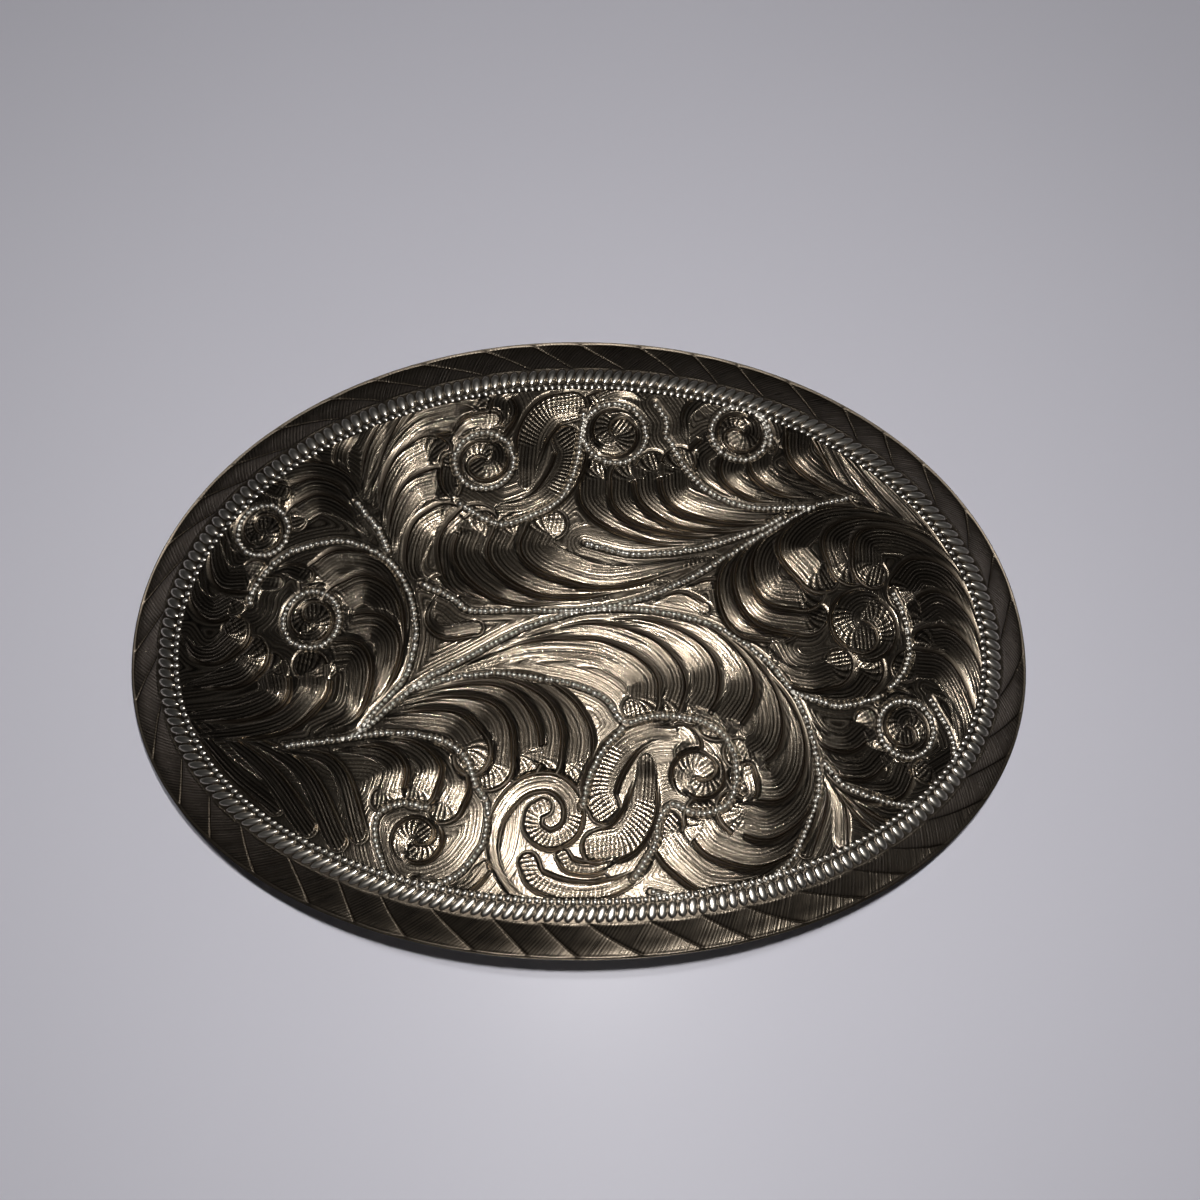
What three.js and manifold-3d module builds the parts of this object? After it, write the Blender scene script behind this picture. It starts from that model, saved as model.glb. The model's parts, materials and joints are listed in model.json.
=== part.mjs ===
// Oval dress belt buckle: a bent nickel-silver face plate with a hinged belt bail and a belt hook
// soldered to its back. Millimetres. +Z is out of the face, +X along the oval's long axis.
// The origin is on the surface the buckle lies on, face up, under the middle of the plate.
import * as THREE from 'three';
import { mergeVertices } from 'three/addons/utils/BufferGeometryUtils.js';
import Module from 'manifold-3d';

// Face plate: an oval blank, bent about an axis along Y so that it follows the wearer's waist
const PLATE_LENGTH = 92;
const PLATE_WIDTH = 62.4;
const OUTLINE_POWER = 2.06; // 2 is a plain ellipse, and a little more fills its shoulders out
const PLATE_THICKNESS = 2;
const BEND_DEPTH = 7.6; // rise of the underside's middle above the surface that its ends lie on
const RIM_WIDTH = 3.3; // sloping border of the face
const RIM_DROP = 1.1; // fall of that border from the face's field to its edge
const BACK_CHAMFER = 0.25; // broken edge of the underside
const REST_FLAT_DEPTH = 0.35; // metal stoned off under the two ends, which the buckle lies on

// Bail for a 38 mm belt, turning in a tube across the back
const BELT_WIDTH = 38.1;
const BAIL_SIDE_PLAY = 0.6; // belt to each arm of the bail
const BAIL_REACH = 15; // hinge axis to the middle of the far bar
const BAR_WIDTH = 2.8;
const BAR_THICKNESS = 2.2;
const BAR_ROUNDING = 0.5;
const BAIL_CORNER = 4; // outer corner radius in plan
const ARM_OVERHANG = 1.3; // arm end past the hinge axis
const JOURNAL_RADIUS = 1.2;
const JOURNAL_DEPTH = 9; // length of each journal inside the tube
const JOURNAL_PLAY = 0.25;
const TUBE_RADIUS = 2;
const TUBE_END_PLAY = 0.4; // tube end to each arm
const HINGE_STATION = -15; // where the tube crosses the back, along X
const BAIL_DROP_DEG = 12.5; // the bail hangs this far below level, its bar on the surface

// Hook for the holes of the belt's free end
const HOOK_STATION = 21.5;
const PAD_RADIUS = 4.5;
const PAD_THICKNESS = 0.9;
const PAD_CHAMFER = 0.2;
const PRONG_RADIUS = 1.2;
const PRONG_PLAY = 0.25; // prong to the wall of the pad's hole
const PRONG_TIP_X = 11.3;
const PRONG_CLEARANCE = 0.1; // lowest side of the prong above the surface
const STRAIGHT_ROOT = 1.6; // the pin before its bend, along the plate's normal
const STRAIGHT_TIP = 4.6; // and after it, level with the surface
const ELBOW_PULL = 1.9; // how square the bend between them is, at its root end
const ELBOW_LEAD = 3; // and at its tip end

// Silver solder
const SEAM = 0.25; // thickness of a soldered seam
const FILLET_SPREAD = 3; // how far a fillet reaches along the back from the tube's middle
const FILLET_SETBACK = 0.5; // a fillet's end to the tube's end
const FILLET_FOOT = 0.15; // thickness of a fillet's outer edge
const FILLET_DIP = 0.3; // height above the back of the hollow between them
const RING_FILLET_WIDTH = 1.1;
const RING_FILLET_CLIMB = 0.75; // how far the ring of solder climbs the pad's rim
const RING_FILLET_KNEE = [0.3, 0.5]; // a point of its hollow face: out from the rim, and down from the back

const PLATE_SEGMENTS = 96;
const FIELD_ROWS = [0, 0.27, 0.54, 0.8]; // rings of points across the plate, as shares of the field's radius
const ROUND_SEGMENTS = 24;
const PRONG_SEGMENTS = 16;
const PRONG_ROWS = 16;

const HALF_LENGTH = PLATE_LENGTH / 2;
const HALF_WIDTH = PLATE_WIDTH / 2;
const EDGE_HEIGHT = PLATE_THICKNESS - RIM_DROP; // height of the plate's side wall
const RAW_DEPTH = BEND_DEPTH + REST_FLAT_DEPTH; // the same rise before the ends are stoned
const BACK_RADIUS = (HALF_LENGTH ** 2 + RAW_DEPTH ** 2) / (2 * RAW_DEPTH);
const AXIS_HEIGHT = BEND_DEPTH - BACK_RADIUS; // bend axis, far below the surface
const BAIL_HALF_INSIDE = BELT_WIDTH / 2 + BAIL_SIDE_PLAY;

const nickelSilver = new THREE.MeshStandardMaterial({ color: 0x8f8776, roughness: 0.3, metalness: 1 });
const hardwareMetal = new THREE.MeshStandardMaterial({ color: 0x9b9488, roughness: 0.4, metalness: 1 });
const silverSolder = new THREE.MeshStandardMaterial({ color: 0xa7a39a, roughness: 0.5, metalness: 1 });

const manifold = await Module();
manifold.setup();

// A closed three.js geometry as a manifold solid, and back again
function toSolid(geometry) {
  const bare = geometry.clone();
  bare.deleteAttribute('normal');
  bare.deleteAttribute('uv');
  const merged = mergeVertices(bare, 1e-4);
  return new manifold.Manifold(new manifold.Mesh({
    numProp: 3,
    vertProperties: new Float32Array(merged.attributes.position.array),
    triVerts: new Uint32Array(merged.index.array),
  }));
}

function toGeometry(solid) {
  const mesh = solid.getMesh();
  const geometry = new THREE.BufferGeometry();
  geometry.setAttribute('position', new THREE.BufferAttribute(mesh.vertProperties, 3));
  geometry.setIndex(new THREE.BufferAttribute(mesh.triVerts, 1));
  geometry.computeVertexNormals();
  return geometry;
}

// Moves every vertex of a geometry to where place(x, y, z) says
function reshape(geometry, place) {
  const position = geometry.attributes.position;
  for (let i = 0; i < position.count; i++) {
    position.setXYZ(i, ...place(position.getX(i), position.getY(i), position.getZ(i)));
  }
  geometry.computeVertexNormals();
  return geometry;
}

function lathe(profile, segments = ROUND_SEGMENTS) {
  return new THREE.LatheGeometry(profile.map(([r, h]) => new THREE.Vector2(r, h)), segments);
}

function named(name, geometry, material) {
  const mesh = new THREE.Mesh(geometry, material);
  mesh.name = name;
  return mesh;
}

// The oval outline, moved inwards by inset along its own normal
function outlinePoint(angle, inset) {
  const oval = (value) => Math.sign(value) * Math.abs(value) ** (2 / OUTLINE_POWER);
  const slope = (value) => Math.sign(value) * Math.abs(value) ** (OUTLINE_POWER - 1);
  const x = HALF_LENGTH * oval(Math.cos(angle));
  const y = HALF_WIDTH * oval(Math.sin(angle));
  const normal = new THREE.Vector2(slope(x / HALF_LENGTH) / HALF_LENGTH, slope(y / HALF_WIDTH) / HALF_WIDTH);
  normal.normalize();
  return [x - normal.x * inset, y - normal.y * inset];
}

// Wraps a flat point, x and y as seen from the front and h above the back, onto the bend
function bent(x, y, h) {
  const turn = Math.asin(x / (BACK_RADIUS + EDGE_HEIGHT));
  return [(BACK_RADIUS + h) * Math.sin(turn), y, (BACK_RADIUS + h) * Math.cos(turn) + AXIS_HEIGHT];
}

// A round blank turned on a lathe, pressed to the oval and bent, with its two ends stoned flat
function facePlate() {
  const inner = HALF_LENGTH - RIM_WIDTH;
  const blank = lathe([
    ...FIELD_ROWS.map((share) => [share * inner, 0]),
    [inner, 0],
    [HALF_LENGTH - BACK_CHAMFER, 0],
    [HALF_LENGTH, BACK_CHAMFER],
    [HALF_LENGTH, EDGE_HEIGHT],
    [inner, PLATE_THICKNESS],
    ...FIELD_ROWS.map((share) => [share * inner, PLATE_THICKNESS]).reverse(),
  ], PLATE_SEGMENTS);
  reshape(blank, (x, h, z) => {
    const radius = Math.hypot(x, z);
    const angle = Math.atan2(-z, x);
    const inset = Math.min(HALF_LENGTH - radius, RIM_WIDTH);
    const share = Math.min(radius / inner, 1);
    const [u, v] = outlinePoint(angle, inset);
    return bent(u * share, v * share, h);
  });
  const stone = new THREE.BoxGeometry(2 * PLATE_LENGTH, 2 * PLATE_WIDTH, PLATE_LENGTH);
  stone.translate(0, 0, -PLATE_LENGTH / 2);
  return named('face_plate', toGeometry(toSolid(blank).subtract(toSolid(stone))), nickelSilver);
}

// A group whose origin is on the underside at station x and whose +Z is the plate's normal there
function backStation(x) {
  const turn = Math.asin(x / BACK_RADIUS);
  const station = new THREE.Group();
  station.position.set(x, 0, BACK_RADIUS * Math.cos(turn) + AXIS_HEIGHT);
  station.rotation.y = turn;
  return station;
}

// Tube along Y, its bore open at both ends
function hingeTube() {
  const bore = JOURNAL_RADIUS + JOURNAL_PLAY;
  const half = BAIL_HALF_INSIDE - TUBE_END_PLAY;
  return named('hinge_tube', lathe([
    [bore, -half],
    [TUBE_RADIUS, -half],
    [TUBE_RADIUS, half],
    [bore, half],
    [bore, -half],
  ]), hardwareMetal);
}

// Three-sided frame in the XY plane about the hinge axis, with a journal turned in from each arm
function bail() {
  const half = BAIL_HALF_INSIDE + BAR_WIDTH;
  const far = -BAIL_REACH - BAR_WIDTH / 2;
  const near = -BAIL_REACH + BAR_WIDTH / 2;
  const inCorner = BAIL_CORNER - BAR_WIDTH;
  const frame = new THREE.Shape();
  frame.moveTo(ARM_OVERHANG, half);
  frame.lineTo(far + BAIL_CORNER, half);
  frame.absarc(far + BAIL_CORNER, half - BAIL_CORNER, BAIL_CORNER, Math.PI / 2, Math.PI);
  frame.absarc(far + BAIL_CORNER, BAIL_CORNER - half, BAIL_CORNER, Math.PI, Math.PI * 1.5);
  frame.lineTo(ARM_OVERHANG, -half);
  frame.lineTo(ARM_OVERHANG, -BAIL_HALF_INSIDE);
  frame.absarc(near + inCorner, inCorner - BAIL_HALF_INSIDE, inCorner, Math.PI * 1.5, Math.PI, true);
  frame.absarc(near + inCorner, BAIL_HALF_INSIDE - inCorner, inCorner, Math.PI, Math.PI / 2, true);
  frame.lineTo(ARM_OVERHANG, BAIL_HALF_INSIDE);
  frame.closePath();
  const geometry = new THREE.ExtrudeGeometry(frame, {
    depth: BAR_THICKNESS - 2 * BAR_ROUNDING,
    bevelThickness: BAR_ROUNDING,
    bevelSize: BAR_ROUNDING,
    bevelOffset: -BAR_ROUNDING,
    bevelSegments: 2,
    curveSegments: 6,
  });
  geometry.translate(0, 0, BAR_ROUNDING - BAR_THICKNESS / 2);
  let solid = toSolid(geometry);
  for (const side of [-1, 1]) {
    const length = JOURNAL_DEPTH + TUBE_END_PLAY + BAR_WIDTH / 2;
    const journal = new THREE.CylinderGeometry(JOURNAL_RADIUS, JOURNAL_RADIUS, length, ROUND_SEGMENTS);
    journal.translate(0, side * (BAIL_HALF_INSIDE + BAR_WIDTH / 2 - length / 2), 0);
    solid = solid.add(toSolid(journal));
  }
  const mesh = named('bail', toGeometry(solid), hardwareMetal);
  mesh.rotation.y = -THREE.MathUtils.degToRad(BAIL_DROP_DEG);
  return mesh;
}

// Concave strip of solder along one side of the tube, from the tube's flank out onto the back. The shape is
// drawn about the tube's axis, with the side as x and the way to the back as y.
function tubeFillet(name, side) {
  const clear = TUBE_RADIUS + SEAM;
  const back = TUBE_RADIUS;
  const section = new THREE.Shape();
  section.moveTo(side * Math.sqrt(clear ** 2 - back ** 2), back);
  for (let degrees = 60; degrees >= 20; degrees -= 10) {
    const angle = THREE.MathUtils.degToRad(degrees);
    section.lineTo(side * clear * Math.cos(angle), clear * Math.sin(angle));
  }
  section.quadraticCurveTo(side * clear, back - FILLET_DIP, side * FILLET_SPREAD, back - FILLET_FOOT);
  section.lineTo(side * FILLET_SPREAD, back);
  section.closePath();
  const length = 2 * (BAIL_HALF_INSIDE - TUBE_END_PLAY - FILLET_SETBACK);
  const strip = new THREE.ExtrudeGeometry(section, { depth: length, bevelEnabled: false, curveSegments: 6 });
  strip.rotateX(Math.PI / 2).translate(0, length / 2, 0);
  return named(name, strip, silverSolder);
}

function hinge() {
  const station = backStation(HINGE_STATION);
  const axis = new THREE.Group();
  axis.position.z = -SEAM - TUBE_RADIUS;
  axis.add(hingeTube(), tubeFillet('tube_solder_outer', -1), tubeFillet('tube_solder_inner', 1));
  station.add(axis);
  const level = new THREE.Group(); // on the hinge axis, but level with the surface
  level.rotation.y = -station.rotation.y;
  level.add(bail());
  axis.add(level);
  return station;
}

// Round pad, hollow for the prong's root, with its belt side down
function hookPad() {
  const hole = PRONG_RADIUS + PRONG_PLAY;
  const pad = lathe([
    [hole, -PAD_THICKNESS],
    [PAD_RADIUS - PAD_CHAMFER, -PAD_THICKNESS],
    [PAD_RADIUS, PAD_CHAMFER - PAD_THICKNESS],
    [PAD_RADIUS, 0],
    [hole, 0],
    [hole, -PAD_THICKNESS],
  ]);
  return named('hook_pad', pad.rotateX(Math.PI / 2).translate(0, 0, -SEAM), hardwareMetal);
}

// Ring of solder round the pad's rim
function padFillet() {
  const start = PAD_RADIUS + SEAM;
  const [kneeOut, kneeDown] = RING_FILLET_KNEE;
  const ring = lathe([
    [start, -RING_FILLET_CLIMB],
    [start + kneeOut, -kneeDown],
    [start + RING_FILLET_WIDTH, -FILLET_FOOT],
    [start + RING_FILLET_WIDTH, 0],
    [start, 0],
    [start, -RING_FILLET_CLIMB],
  ]);
  return named('hook_solder', ring.rotateX(Math.PI / 2).translate(0, 0, -SEAM), silverSolder);
}

// Bullet-nosed pin, bent over so that it leans from its root towards the bail
function hookProng() {
  const station = backStation(HOOK_STATION);
  const below = (depth) => new THREE.Vector3(0, 0, -depth).applyEuler(station.rotation).add(station.position);
  const root = below(SEAM);
  const neck = below(SEAM + STRAIGHT_ROOT);
  const tip = new THREE.Vector3(PRONG_TIP_X, 0, PRONG_CLEARANCE + PRONG_RADIUS);
  const beak = tip.clone().setX(PRONG_TIP_X + STRAIGHT_TIP); // where the straight end of the prong begins
  const route = new THREE.CurvePath();
  route.add(new THREE.LineCurve3(root, neck));
  route.add(new THREE.CubicBezierCurve3(
    neck,
    below(SEAM + STRAIGHT_ROOT + ELBOW_PULL),
    beak.clone().setX(beak.x + ELBOW_LEAD),
    beak,
  ));
  route.add(new THREE.LineCurve3(beak, tip));
  const length = route.getLength();
  const profile = [[0, 0]];
  for (let i = 0; i <= PRONG_ROWS; i++) {
    profile.push([PRONG_RADIUS, (length - PRONG_RADIUS) * i / PRONG_ROWS]);
  }
  for (let degrees = 30; degrees <= 90; degrees += 30) {
    const angle = THREE.MathUtils.degToRad(degrees);
    const radius = degrees === 90 ? 0 : PRONG_RADIUS * Math.cos(angle);
    profile.push([radius, length - PRONG_RADIUS * (1 - Math.sin(angle))]);
  }
  const pin = lathe(profile, PRONG_SEGMENTS);
  reshape(pin, (across, along, y) => {
    const share = Math.min(along / length, 1);
    const centre = route.getPointAt(share);
    const heading = route.getTangentAt(share);
    return [centre.x - heading.z * across, y, centre.z + heading.x * across];
  });
  return named('hook_prong', pin, hardwareMetal);
}

function hook() {
  const station = backStation(HOOK_STATION);
  station.add(hookPad(), padFillet());
  return station;
}

const group = new THREE.Group();
group.add(facePlate(), hinge(), hook(), hookProng());

export default group;
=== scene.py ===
"""Looks of the engraved oval belt buckle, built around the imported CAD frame. Metres, +Z out of the face.

The engraving is a relief over the plate's plan: scrolls of overlapping leaves, beaded lines, curled eyes
and a rope-cut rim. It is drawn on a fine grid in millimetres and lifted onto the bent plate. The plate's
wall and back, and the tube, bail, hook and solder, are built to the CAD pieces' boxes.
"""
import json
import math

import bmesh
import bpy
import numpy as np
from mathutils import Matrix, Vector


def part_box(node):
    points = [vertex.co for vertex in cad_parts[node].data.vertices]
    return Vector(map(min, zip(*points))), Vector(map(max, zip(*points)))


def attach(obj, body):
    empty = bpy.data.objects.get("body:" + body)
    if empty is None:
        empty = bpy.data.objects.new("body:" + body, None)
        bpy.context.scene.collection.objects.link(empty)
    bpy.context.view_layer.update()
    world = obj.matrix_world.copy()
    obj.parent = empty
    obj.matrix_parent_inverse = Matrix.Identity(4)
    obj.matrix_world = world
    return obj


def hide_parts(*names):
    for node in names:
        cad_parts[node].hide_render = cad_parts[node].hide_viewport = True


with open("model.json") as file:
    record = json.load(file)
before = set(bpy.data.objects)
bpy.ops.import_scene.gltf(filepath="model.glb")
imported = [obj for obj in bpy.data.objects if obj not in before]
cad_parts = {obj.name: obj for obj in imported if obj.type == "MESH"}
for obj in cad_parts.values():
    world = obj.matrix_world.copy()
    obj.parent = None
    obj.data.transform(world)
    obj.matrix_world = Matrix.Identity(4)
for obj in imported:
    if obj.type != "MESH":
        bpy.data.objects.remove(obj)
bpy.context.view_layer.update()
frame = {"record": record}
MM = 0.001


def box_mm(node):
    return [np.array(corner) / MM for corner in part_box(node)]


# Face plate, in millimetres, from its CAD box
PLATE_HIGH = box_mm("face_plate")[1]
HALF_LENGTH = float(PLATE_HIGH[0])
HALF_WIDTH = float(PLATE_HIGH[1])
OUTLINE_POWER = 2.06
THICKNESS = 2.0
EDGE_HEIGHT = 0.9
RIM_WIDTH = 3.3
RIM_DROP = THICKNESS - EDGE_HEIGHT
BACK_CHAMFER = 0.25
BEND_DEPTH = float(PLATE_HIGH[2]) - THICKNESS
# The flats that the two ends lie on take this off the bend
END_FLAT = 0.35
RAW_DEPTH = BEND_DEPTH + END_FLAT
BACK_RADIUS = (HALF_LENGTH**2 + RAW_DEPTH**2) / (2 * RAW_DEPTH)
AXIS_HEIGHT = BEND_DEPTH - BACK_RADIUS
# Solder film between the back and what stands on it
SEAM = 0.25

# Relief grid, mesh and cuts
GROUND_LEVEL = -0.1
GRAIN = 0.006
SOFTENING = 9
GRID_STEP = 0.06
FACE_ROWS = ((1200, 810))
LINE_PITCH = 0.36
LINE_DEPTH = 0.013
HATCH_PITCH = 0.42
RIM_LINE_DEPTH = 0.7 * LINE_DEPTH
STRAND_PITCH = 5.0
STRAND_WANDERS = 13
TICK_PITCH = 1.0
TICK_MIDDLE = 4.2
TICK_BAND = 5.0
EDGE_BEAD_PITCH = 0.74
EDGE_BEAD_ROW = 5.28
EDGE_BEAD_RADIUS = 0.24
RIM_BAND = 5.6
BEAD_SLOPE = 0.32
HOOK_TURN = 75
# Painted shade on the plate's side wall, given through the same value as the tarnish in the cuts
WALL_PAINTED_SHADE = 0.85


# ---- curves and relief

def ease(low, high, value):
    share = np.clip((value - low) / (high - low), 0, 1)
    return share * share * (3 - 2 * share)


def curve(points, step=0.2):
    """Smooth curve through the points, with a point about every step."""
    knots = np.asarray(points, float)
    knots = np.vstack([2 * knots[0] - knots[1], knots, 2 * knots[-1] - knots[-2]])
    length = np.hypot(*np.diff(knots, axis=0).T)[1:-1].sum()
    place = np.linspace(0, len(knots) - 3 - 1e-9, max(int(length / step), 8))
    index = place.astype(int)
    t = (place - index)[:, None]
    a, b, c, d = (knots[index + i] for i in range(4))
    return 0.5 * (2 * b + (c - a) * t + (2 * a - 5 * b + 4 * c - d) * t**2 + (3 * b - a - 3 * c + d) * t**3)


def fine_lines(phase):
    """Wave of the engraver's fine lines, a little deeper or shallower from one line to the next."""
    depth = 0.85 + 0.4 * np.sin(12.9898 * np.floor(phase + 0.25))
    return depth * np.sin(2 * np.pi * phase)


def hooked(points, degrees, length):
    """The same path with its last stretch curled further round, the way it already turns."""
    path = curve(points)
    first = path[-1] - path[-2]
    before = path[len(path) // 2] - path[len(path) // 2 - 1]
    way = 1 if before[0] * first[1] - before[1] * first[0] > 0 else -1
    heading = math.atan2(first[1], first[0])
    tip = path[-1]
    steps = 8
    out = [*path[::4], tip]
    for k in range(1, steps + 1):
        turn = heading + way * math.radians(degrees) * k / steps
        tip = tip + length / steps * np.array([math.cos(turn), math.sin(turn)])
        if k % 2 == 0:
            out.append(tip)
    return out


def arc_lengths(points):
    return np.concatenate([[0], np.cumsum(np.hypot(*np.diff(points, axis=0).T))])


def headings(path):
    """Unit directions along a path in plan."""
    heading = np.gradient(path, axis=0)
    return heading / np.hypot(*heading.T)[:, None]


def around(centre, reach, degrees):
    """Points at a reach and an angle round a centre."""
    angle = np.radians(degrees)
    return np.stack([centre[0] + reach * np.cos(angle), centre[1] + reach * np.sin(angle)], 1)


def beside_spine(x, y, spine, heading, radii, arc, side):
    """Distance outside a leaf, place across and along it, and its radius there, for each grid point."""
    edge = np.full(x.shape, 1e9)
    across = np.zeros(x.shape)
    along = np.zeros(x.shape)
    local = np.ones(x.shape)
    for (px, py), (hx, hy), r, s in zip(spine, heading, radii, arc):
        dx = x - px
        dy = y - py
        offset = side * (dx * hy - dy * hx)
        belly = 1.0 + 0.3 * math.sin(math.pi * min(s / arc[-1] * 1.3, 1))
        wide = r * np.where(offset < 0, belly, 1.0)
        distance = np.hypot(dx, dy) - wide
        closer = distance < edge
        edge[closer] = distance[closer]
        across[closer] = offset[closer]
        along[closer] = (s + dx * hx + dy * hy)[closer]
        local[closer] = r
    return edge, across, along, local


class Relief:
    """Height, fine lines (their wave also sets the painted shade in their valleys) and polish over the
    plate's plan, on a grid in millimetres.
    """

    def __init__(self):
        self.random = np.random.default_rng(11)
        self.x = np.arange(-HALF_LENGTH - 1, HALF_LENGTH + 1, GRID_STEP)
        self.y = np.arange(-HALF_WIDTH - 1, HALF_WIDTH + 1, GRID_STEP)
        shape = (len(self.y), len(self.x))
        self.height = np.full(shape, GROUND_LEVEL)
        self.phase = np.zeros(shape)
        self.strength = np.full(shape, 0.5)
        self.near = np.full(shape, 4.0)
        self.polish = np.zeros(shape)
        self.wave = np.zeros(shape)

    def window(self, points, margin):
        low = points.min(0) - margin
        high = points.max(0) + margin
        columns = slice(*np.searchsorted(self.x, (low[0], high[0])))
        rows = slice(*np.searchsorted(self.y, (low[1], high[1])))
        return (rows, columns), *np.meshgrid(self.x[columns], self.y[rows])

    def paint(self, area, mask, **fields):
        for name, value in fields.items():
            target = getattr(self, name)[area]
            target[mask] = np.broadcast_to(value, mask.shape)[mask]

    def ground(self, points):
        """Lines of the ground run beside the nearest curve."""
        line = curve(points, 0.4)
        area, x, y = self.window(line, 3.5)
        for px, py in line:
            distance = np.hypot(x - px, y - py)
            self.paint(area, distance < self.near[area], near=distance)

    def ground_lines(self):
        """Faint lines over the ground, their corners rounded off."""
        kernel = np.ones(SOFTENING) / SOFTENING
        for axis in (0, 1, 0, 1):
            self.near = np.apply_along_axis(np.convolve, axis, self.near, kernel, "same")
        self.phase = self.near / LINE_PITCH
        self.wave = 0.4 * fine_lines(self.phase)
        self.height += LINE_DEPTH * self.wave + self.random.normal(0, GRAIN, self.height.shape)

    def leaf(self, points, radius, depth=0.32, spread=0.9, taper=0.75, both=False, hatch=True, crown=0.12,
             tail=0.12, comb_reach=1.15):
        """One leaf from its thin tail to its round head, with a crescent cut along its outer side."""
        spine = curve(points)[::-1]
        arc = arc_lengths(spine)
        radii = (radius - tail) * (1 - arc / arc[-1]) ** taper + tail
        heading = headings(spine)
        bend = np.sum(heading[:-1, 0] * heading[1:, 1] - heading[:-1, 1] * heading[1:, 0])
        side = 1 if bend > 0 else -1
        area, x, y = self.window(spine, radius + spread + 0.4)
        edge, across, along, local = beside_spine(x, y, spine, heading, radii, arc, side)
        w = np.clip(across / local, -1.3, 1.3)
        size = np.clip(local / radius, 0.15, 1)
        grow = np.clip(1 - along / arc[-1], 0, 1)
        lit = np.ones_like(w) if both else ease(-0.7, 0.4, w)
        crescent = ease(0.02, 0.45, grow) * (1 - 0.35 * ease(0.8, 1.0, grow))
        round_head = 0.62 * ease(0.7 * radius, -0.2 * radius, along)
        cut = depth * np.maximum(lit * crescent, round_head)
        width = spread * (0.25 + 0.75 * np.maximum(crescent * lit, 0.45 * round_head)) * (0.5 + 0.5 * size)
        outside = (edge >= 0) & (edge < width) & (cut > 0.02)
        back_up = np.clip((edge / width - 0.1) / 0.9, 0, 1)
        groove = -cut + (cut + 0.06) * back_up ** 0.85
        low = np.minimum(self.height[area], groove)
        shade = self.strength[area] * (0.4 + 0.6 * back_up)
        self.paint(area, outside, height=low, strength=shade, wave=self.wave[area] * back_up)
        inside = edge < 0
        crest = crown * (0.35 + 0.65 * size)
        body = crest * (1 - ((w - 0.3) / 1.35) ** 2) - 0.07
        wall = ease(0, 0.26, -edge)
        body = body * wall - (1 - wall) * cut * 0.8
        settle = ease(0.0, 0.2, grow)
        body = body * settle + self.height[area] * (1 - settle)
        lines = wall * ease(0.12, 0.5, local)
        phase = across / LINE_PITCH
        wave = lines * fine_lines(phase)
        if hatch:
            fade = ease(0.12, 0.35, -edge) * ease(0, 0.5 * radius, comb_reach * radius - along)
            fade = fade * ease(-0.8, -0.3, w)
            comb = np.sin(2 * np.pi * (along + 0.2 * w * radius) / HATCH_PITCH)
            wave = wave * (1 - 0.85 * fade) + 1.1 * comb * fade
        self.paint(area, inside, height=body + LINE_DEPTH * wave, wave=wave, strength=lines, phase=phase)

    def beads(self, points, pitch=0.53, radius=0.19):
        """A shallow groove with a row of round punch marks standing in it."""
        line = curve(points, 0.12)
        arc = arc_lengths(line)
        area, x, y = self.window(line, 0.8)
        near = np.full(x.shape, 9.0)
        for px, py in line:
            near = np.minimum(near, np.hypot(x - px, y - py))
        groove = -0.2 + 0.8 * np.clip(near - 0.26, 0, 1)
        dip = np.minimum(self.height[area], groove)
        self.paint(area, near < 0.48, height=dip, strength=self.strength[area] * 0.2, wave=0.0)
        count = int(arc[-1] / pitch)
        for k in range(count + 1):
            place = (k + 0.5) * arc[-1] / (count + 1)
            centre = np.array([np.interp(place, arc, line[:, i]) for i in (0, 1)])
            centre += self.random.normal(0, 0.035, 2)
            size = radius * self.random.uniform(0.88, 1.15)
            spot, bx, by = self.window(centre[None], size + GRID_STEP)
            rise = size**2 - (bx - centre[0])**2 - (by - centre[1])**2
            dome = BEAD_SLOPE * rise / size - 0.02
            shown = (rise > 0) & (dome > self.height[spot])
            self.paint(spot, shown, height=dome, strength=0.0, polish=1.0, wave=0.0)

    def eye(self, centre, radius, start, turn, ringed):
        """Two interlocked curls, with or without a ring of beads round them."""
        t = np.linspace(0, 1, 7)
        for arm in (0, 180):
            path = around(centre, radius * (0.74 - 0.44 * t), start + arm + turn * 195 * t)
            self.leaf(path, 0.42 * radius, spread=0.55, taper=0.5, crown=0.15, comb_reach=2.4, tail=0.3)
        if ringed:
            self.beads(around(centre, 1.1 * radius, np.linspace(0, 360, 13)))


# ---- the design, in plan millimetres

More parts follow.
